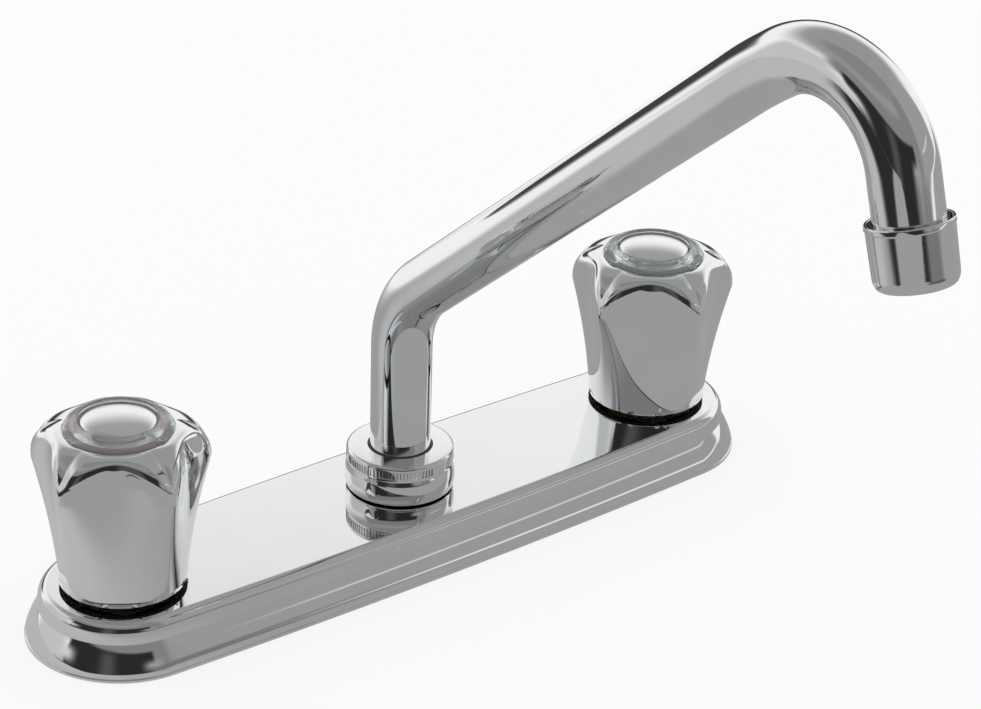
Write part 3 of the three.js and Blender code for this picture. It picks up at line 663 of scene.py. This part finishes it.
def bearing_sleeve(material):
    """The dark sleeve that shows as a thin ring where the spout leaves its nut."""
    bottom = node_box("spout_bearing_sleeve")[0].z
    inner = TUBE_RADIUS + SLEEVE_GAP
    outer = NUT_HOLE - SLEEVE_GAP
    top = NUT_TOP + SLEEVE_PROUD
    outer_round, inner_round = SLEEVE_ROUNDS
    outline = rounded([
        (outer, bottom), (outer, top, outer_round), (inner, top, inner_round), (inner, bottom),
    ])
    make_piece(
        "spout_sleeve_ring", *lathe(outline), material, "spout", "spout_bearing_sleeve", "dark_plastic",
    )


def knurl_ring(z):
    """A ring of teeth, each with a flat top and a flat root of two points."""
    ring = []
    for i, point in enumerate(circle(1, z, KNURL_TEETH * 4)):
        radius = NUT_RADIUS - (KNURL_DEPTH if i % 4 > 1 else 0)
        ring.append(Vector((point.x * radius, point.y * radius, z)))
    return ring


def spout_nut(material):
    """The nut from its foot over the belly, the knurl and the rim, and back down inside."""
    count = KNURL_TEETH * 4
    root = NUT_RADIUS - KNURL_DEPTH
    low_runout, high_runout = KNURL_RUNOUTS
    rings = []
    for z in steps(NUT_BOTTOM + GAP, KNURL_Z, 28):
        belly = NUT_BELLY - NUT_BELLY_FALL * (z - NUT_BELLY_Z) ** 2
        if not rings:
            rings.append(circle(belly - GAP, NUT_BOTTOM, count))
        rings.append(circle(max(belly, root), z, count))
    rings += [knurl_ring(KNURL_Z + low_runout), knurl_ring(KNURL_TOP - high_runout)]
    rings.append(circle(NUT_RADIUS, KNURL_TOP, count))
    for angle in steps(0, math.pi / 2, 8):
        radius = NUT_RADIUS - NUT_RIM * (1 - math.cos(angle))
        rings.append(circle(radius, NUT_TOP - NUT_RIM * (1 - math.sin(angle)), count))
    inside = [
        (NUT_HOLE + NUT_BEVEL, NUT_TOP), (NUT_HOLE, NUT_TOP - NUT_BEVEL), (NUT_HOLE, NUT_WEB_Z),
        (NUT_THREAD, NUT_WEB_Z), (NUT_THREAD, NUT_BOTTOM),
    ]
    rings += [circle(radius, z, count) for radius, z in inside]
    make_piece("spout_nut_shell", *skin(rings), material, "fixed_body", "spout_nut")


# ---------------------------------------------------------------- aerator

def aerator(stations, turn, materials):
    """The housing at the end of the spout, and the insert that shows from below. The housing's rim is where
    the tube's tail begins."""
    x, z, _ = stations[-1 - TAIL_STATIONS]
    tilt = Matrix.Rotation(END_ANGLE - math.pi / 2, 4, "Y")
    place = turn @ Matrix.Translation((x, 0, z)) @ tilt
    foot = -AERATOR_LENGTH
    body_slope, rim_slope = AERATOR_RIM_SLOPES
    body_top = -AERATOR_RIM_HEIGHT - body_slope
    rim_bottom = -AERATOR_RIM_HEIGHT - rim_slope
    edge = [
        (
            AERATOR_EDGE + (AERATOR_FOOT - AERATOR_EDGE) * math.sin(angle),
            foot + AERATOR_EDGE_HEIGHT * (1 - math.cos(angle)),
        )
        for angle in steps(0, math.pi / 2, 16)
    ]
    outline = edge + rounded([
        (AERATOR_FOOT, foot + AERATOR_EDGE_HEIGHT),
        (AERATOR_BODY, body_top, 0.3), (AERATOR_RIM, rim_bottom, 0.1),
        (AERATOR_RIM, 0, 0.35), (AERATOR_BORE, 0, 0.2), (AERATOR_BORE, foot + AERATOR_LIP_HEIGHT),
        (AERATOR_LIP, foot + AERATOR_LIP_HEIGHT), (AERATOR_LIP, foot, 0.3),
    ], 8)[1:]
    vertices, faces = lathe(outline)
    make_piece(
        "aerator_shell", placed(vertices, place), faces, materials["chrome"], "spout", "aerator_housing",
    )
    vertices, faces = drilled_disc(AERATOR_BORE - GAP, foot + AERATOR_LIP_HEIGHT + GAP, INSERT_TOP)
    make_piece(
        "aerator_stream_insert", placed(vertices, place), faces, materials["white_plastic"], "spout",
        "aerator_insert", "white_plastic", flat=range(len(faces)),
    )


def drilled_disc(radius, bottom, top):
    """A disc with a middle hole and two circles of jets."""
    holes = [(MIDDLE_JET, (0, 0))]
    for circle_radius, jets in JET_CIRCLES:
        holes += [(JET, tuple(point.xy)) for point in circle(circle_radius, 0, jets)]
    levels = []
    for z in (bottom, top):
        levels.append([circle(radius, z, 64), *(circle(size, z, 16, centre) for size, centre in holes)])
    vertices = []
    faces = []
    for loops in levels:
        first = len(vertices)
        faces += [tuple(first + i for i in triangle) for triangle in tessellate_polygon(loops)]
        vertices += [point for loop in loops for point in loop]
    for below, above in zip(*levels):
        first = len(vertices)
        wall, wall_faces = skin([below, above], closed=False)
        faces += [tuple(first + i for i in face) for face in wall_faces]
        vertices += wall
    return vertices, faces


# ---------------------------------------------------------------- inlets

def threaded_shank(name, side, material):
    """A brass inlet with a real thread cut into its outside."""
    count = 48
    per_turn = 6
    axis = (side["x"], 0)
    root = SHANK_RADIUS - THREAD_DEPTH
    start = SHANK_BOTTOM + THREAD_START
    end = SHANK_TOP - THREAD_RELIEF
    rings = [circle(root, SHANK_BOTTOM, count, axis)]
    for z in steps(start, end, round((end - start) / THREAD_PITCH * per_turn)):
        fade = min(1, (z - start) / THREAD_PITCH, (end - z) / THREAD_PITCH)
        ring = []
        for i, point in enumerate(circle(1, z, count)):
            phase = ((z - start) / THREAD_PITCH - i / count) % 1
            crest = min(1, THREAD_SLOPE * abs(1 - 2 * phase))
            radius = SHANK_RADIUS - THREAD_DEPTH * (1 - crest * fade)
            ring.append(Vector((side["x"] + point.x * radius, point.y * radius, z)))
        rings.append(ring)
    ends = [
        (root, SHANK_TOP), (SHANK_BORE + GAP, SHANK_TOP), (SHANK_BORE, SHANK_TOP - GAP),
        (SHANK_BORE, SHANK_BOTTOM + MOUTH_BEVEL), (SHANK_BORE + MOUTH_BEVEL, SHANK_BOTTOM),
    ]
    rings += [circle(radius, z, count, axis) for radius, z in ends]
    make_piece(
        f"{name}_threaded_shank", *skin(rings), material, "fixed_body", f"{name}_inlet_shank", "brass",
    )


def lock_nut(name, side, material):
    """A hexagon nut whose corners are turned off to a cone at both ends."""
    low, high = node_box(f"{name}_mounting_nut")
    half_flats = (high.y - low.y) / 2
    bore = SHANK_RADIUS + GAP
    mouth = bore + LOCK_NUT_MOUTH
    count = 192
    end_cone, full_cone = LOCK_NUT_CONE
    levels = [
        (low.z, end_cone), (low.z + LOCK_NUT_CHAMFER, full_cone),
        (high.z - LOCK_NUT_CHAMFER, full_cone), (high.z, end_cone),
    ]
    rings = []
    for z, cone in levels:
        ring = []
        for i, point in enumerate(circle(1, z, count)):
            from_flat = (2 * math.pi * i / count) % (math.pi / 3) - math.pi / 6
            radius = min(half_flats / math.cos(from_flat), half_flats + cone)
            ring.append(Vector((side["x"] + point.x * radius, point.y * radius, z)))
        rings.append(ring)
    inside = [
        (mouth, high.z), (bore, high.z - LOCK_NUT_MOUTH), (bore, low.z + LOCK_NUT_MOUTH), (mouth, low.z),
    ]
    rings += [circle(radius, z, count, (side["x"], 0)) for radius, z in inside]
    make_piece(
        f"{name}_lock_nut", *skin(rings), material, "fixed_body", f"{name}_mounting_nut", "white_plastic",
    )


def clamp_washer(name, side, material):
    """A flat washer with rounded edges."""
    low, high = node_box(f"{name}_mounting_washer")
    outer = (high.x - low.x) / 2
    inner = SHANK_RADIUS + GAP
    outline = rounded([
        (outer, low.z, WASHER_ROUND), (outer, high.z, WASHER_ROUND),
        (inner, high.z, GAP), (inner, low.z, GAP),
    ], 4)
    make_piece(
        f"{name}_clamp_washer", *lathe(outline, (side["x"], 0)), material, "fixed_body",
        f"{name}_mounting_washer", "zinc",
    )


# ---------------------------------------------------------------- studio

CHROME_SHARE = 0.83  # of the light that the chrome gives back
FLOOR_REACH = 6.0  # in metres, as all lengths of the studio are
FLOOR_WHITE = 0.8  # how far the floor is lifted towards white
SHEET_LIFT = 0.0002  # of the floor's sheet above the floor
SHEET_MIDDLE = 0.9  # how far it is closer meshed
SHEET_HOLE = 0.001  # its open middle
SHEET_MARGIN = 0.03  # between its rim and the tent
TENT_RADIUS = 3.0
TENT_CENTRE = Vector((0, -0.06, 0.06))
TENT_FOOT = -8  # a height in degrees
HORIZON_TOP = 36  # the tent is closer meshed up to this height

# What the chrome mirrors, painted in this order over one another. Each patch is a range of bearings, the
# heights of its foot and of its top at the first bearing and at the last, how softly its bearings and its
# heights end, and a grey from 0 to 255. All but the grey are in degrees. Bearing 0 is -Y, the sink bowl's
# side, and 90 is +X.
TENT_BASE = 238
TENT_PATCHES = [
    ((-360, 360), (37, 37), (120, 120), (1, 24), 147),  # ceiling
    ((-160, 15), (56, 56), (120, 120), (25, 14), 130),  # darker ceiling over the camera
    ((-116, 8), (24, 20), (48, 44), (12, 10), 126),  # shade over the dark room
    ((-8, 76), (2.2, 2.2), (60, 60), (8, 1.6), 150),  # grey wall ahead
    ((-8, 76), (-20, -20), (0.6, 0.6), (8, 0.8), 150),  # its foot, under a bright gap
    ((-12, 18), (1, 1), (60, 60), (12, 4), 126),  # a darker part of it
    ((27, 56), (16.8, 16.8), (18.6, 18.6), (8, 1.2), 205),  # a bright slit in it
    ((-132, -100), (-2, -2), (11, 11), (14, 6), 165),  # a low grey wall on the left
    ((-104, -1), (-8, -8), (33, 25), (5, 4), 41),  # the dark room behind the camera
    ((-62, -46), (-8, -8), (28, 26), (14, 14), 76),  # a lighter stripe in it
    ((-124, -94), (3, 3), (17, 17), (16, 12), 205),  # the lit ends of the dark room
    ((-12, 8), (3, 3), (13, 13), (14, 10), 150),  # a lit edge between it and the grey wall
    ((-6, 28), (-8, -8), (4, 4), (12, 3), 115),  # a low dark strip ahead
    ((116, 188), (-6, -6), (13, 13), (14, 7), 62),  # a low dark strip at the back
    ((205, 250), (-6, -6), (30, 30), (16, 10), 190),  # light grey beside it
]

# The same for the floor, with distances from the faucet in place of the heights.
FLOOR_BASE = 152
FLOOR_PATCHES = [
    ((165, 215), (0.4, 0.4), (4, 4), (14, 0.3), 238),  # light at the back
    ((100, 165), (0.55, 0.55), (4, 4), (14, 0.2), 238),  # and on its right
    ((215, 265), (0.12, 0.12), (4, 4), (20, 0.1), 180),  # less light on its left
    ((-114, -68), (0.45, 0.45), (4, 4), (5, 0.16), 42),  # in front of the dark room
    ((-10, 30), (0.8, 0.8), (4, 4), (10, 0.3), 90),  # ahead
]


def smooth(value):
    """0 up to 0 and 1 from 1 on, with a smooth step between."""
    t = min(max(value, 0), 1)
    return t * t * (3 - 2 * t)


def within(value, low, high, edge):
    """1 well inside a span, 0 outside it, with soft ends half inside and half outside."""
    return smooth((value - low) / edge + 0.5) * smooth((high - value) / edge + 0.5)


def covered(bearing, reach, bearings, feet, tops, edges):
    """How much of a patch lies on a point."""
    first, last = bearings
    along = min(max((bearing - first) / (last - first), 0), 1)
    low = feet[0] + (feet[1] - feet[0]) * along
    high = tops[0] + (tops[1] - tops[0]) * along
    return within(bearing, first, last, edges[0]) * within(reach, low, high, edges[1])


def tone(bearing, reach, base, patches):
    """The grey of a point after every patch is painted."""
    grey = base
    for *shape, paint in patches:
        share = max(covered(bearing + turn, reach, *shape) for turn in (-360, 0, 360))
        grey += (paint - grey) * share
    return grey


def level_direction(bearing):
    """The x and y of a bearing's direction."""
    angle = math.radians(bearing)
    return math.sin(angle), -math.cos(angle)


def mirrored(grey):
    """The strength of light that the chrome shows as a grey from 0 to 255, by the sRGB curve."""
    return ((grey / 255 + 0.055) / 1.055) ** 2.4 / CHROME_SHARE


def glowing_sheet(name, points, greys, faces):
    """A sheet of light whose strength is set point by point. It lights nothing and casts no shadow: only
    mirrors and clear plastic show it."""
    material, nodes, links = new_material(name)
    strength = nodes.new("ShaderNodeAttribute")
    strength.attribute_name = "strength"
    glow = nodes.new("ShaderNodeEmission")
    links.new(strength.outputs["Fac"], glow.inputs["Strength"])
    links.new(glow.outputs["Emission"], nodes["Material Output"].inputs["Surface"])
    material.cycles.emission_sampling = "NONE"
    sheet = staged(name, points, faces, material)
    layer = sheet.data.attributes.new("strength", "FLOAT", "POINT")
    for item, grey in zip(layer.data, greys):
        item.value = mirrored(grey)
    sheet.visible_camera = False
    sheet.visible_diffuse = False
    sheet.visible_shadow = False


def staged(name, vertices, faces, material):
    """A mesh in metres that belongs to the studio."""
    mesh = bpy.data.meshes.new(name)
    mesh.from_pydata(vertices, [], faces)
    mesh.materials.append(material)
    thing = bpy.data.objects.new(name, mesh)
    bpy.context.scene.collection.objects.link(thing)
    return thing


def tent():
    """A dome round the faucet, from just below the floor upwards."""
    rings = []
    greys = []
    heights = steps(TENT_FOOT, 0, 8) + steps(0, HORIZON_TOP, 72)[1:] + steps(HORIZON_TOP, 90, 27)[1:]
    for height in heights:
        up = math.radians(height)
        ring = []
        for bearing in steps(-180, 180, 360)[:-1]:
            x, y = level_direction(bearing)
            direction = Vector((x * math.cos(up), y * math.cos(up), math.sin(up)))
            ring.append(TENT_CENTRE + TENT_RADIUS * direction)
            greys.append(tone(bearing, height, TENT_BASE, TENT_PATCHES))
        rings.append(ring)
    points, faces = skin(rings, closed=False)
    glowing_sheet("tent", points, greys, faces)


def floor_sheet():
    """The sheet over the floor that mirrors show in its place."""
    rings = []
    greys = []
    middle = SHEET_HOLE + SHEET_MIDDLE
    rim = TENT_RADIUS - SHEET_MARGIN
    reaches = steps(SHEET_HOLE, middle, 24) + steps(middle, rim, 12)[1:]
    for reach in reaches:
        ring = []
        for bearing in steps(-180, 180, 120)[:-1]:
            x, y = level_direction(bearing)
            ring.append(Vector((reach * x, TENT_CENTRE.y + reach * y, SHEET_LIFT)))
            greys.append(tone(bearing, reach, FLOOR_BASE, FLOOR_PATCHES))
        rings.append(ring)
    points, faces = skin(rings, closed=False)
    glowing_sheet("floor_sheet", points, greys, faces)


def studio():
    """A white world, a pale floor and the tent that the chrome mirrors."""
    world = bpy.data.worlds.new("world")
    bpy.context.scene.world = world
    world.use_nodes = True
    world.node_tree.nodes["Background"].inputs["Color"].default_value = (1, 1, 1, 1)
    world.node_tree.nodes["Background"].inputs["Strength"].default_value = 1.0
    corners = [(FLOOR_REACH * x, FLOOR_REACH * y, 0) for x, y in ((-1, -1), (1, -1), (1, 1), (-1, 1))]
    staged("floor", corners, [(0, 1, 2, 3)], floor_material())
    floor_sheet()
    tent()
    bpy.context.scene.view_settings.view_transform = "Standard"


def floor_material():
    """A pale matt floor. The camera, mirrors and clear plastic see it lifted towards white, with a faint
    shadow."""
    material, nodes, links = new_material("floor")
    matt = nodes["Principled BSDF"]
    matt.inputs["Base Color"].default_value = (0.9, 0.9, 0.9, 1)
    matt.inputs["Roughness"].default_value = 0.9
    white = nodes.new("ShaderNodeEmission")
    path = nodes.new("ShaderNodeLightPath")
    seen = path.outputs["Is Camera Ray"]
    for ray in ("Is Glossy Ray", "Is Transmission Ray"):
        either = nodes.new("ShaderNodeMath")
        either.operation = "MAXIMUM"
        links.new(seen, either.inputs[0])
        links.new(path.outputs[ray], either.inputs[1])
        seen = either.outputs["Value"]
    share = nodes.new("ShaderNodeMath")
    share.operation = "MULTIPLY"
    share.inputs[1].default_value = FLOOR_WHITE
    links.new(seen, share.inputs[0])
    mix = nodes.new("ShaderNodeMixShader")
    links.new(share.outputs["Value"], mix.inputs["Fac"])
    links.new(matt.outputs["BSDF"], mix.inputs[1])
    links.new(white.outputs["Emission"], mix.inputs[2])
    links.new(mix.outputs["Shader"], nodes["Material Output"].inputs["Surface"])
    return material


# ---------------------------------------------------------------- assembly

def main():
    """The camera, the finishes of the CAD pieces, the finer pieces that stand for some, and the studio."""
    fitted_camera()
    materials = make_materials()
    for part in frame["record"]["subparts"]:
        node = frame["nodes"][part["node"]]
        node.data.materials.clear()
        # The brass valve bodies are painted dark grey: painted shade where they show in the dark gap under the
        # knobs.
        look = "valve_painted_shade" if "valve_body" in part["node"] else part["material_slot"]
        node.data.materials.append(materials[look])
    deck_plate(materials["chrome"])
    for name, side in SIDES.items():
        knob(name, side, materials)
        index_button(name, side, materials)
        threaded_shank(name, side, materials["brass"])
        lock_nut(name, side, materials["white_plastic"])
        clamp_washer(name, side, materials["zinc"])
    stations = spout_path()
    spout_turn = Matrix.Rotation(SPOUT_BEARING, 4, "Z")
    spout_tube(stations, spout_turn, materials["chrome"])
    bearing_sleeve(materials["dark_plastic"])
    spout_nut(materials["chrome"])
    aerator(stations, spout_turn, materials)
    studio()


main()
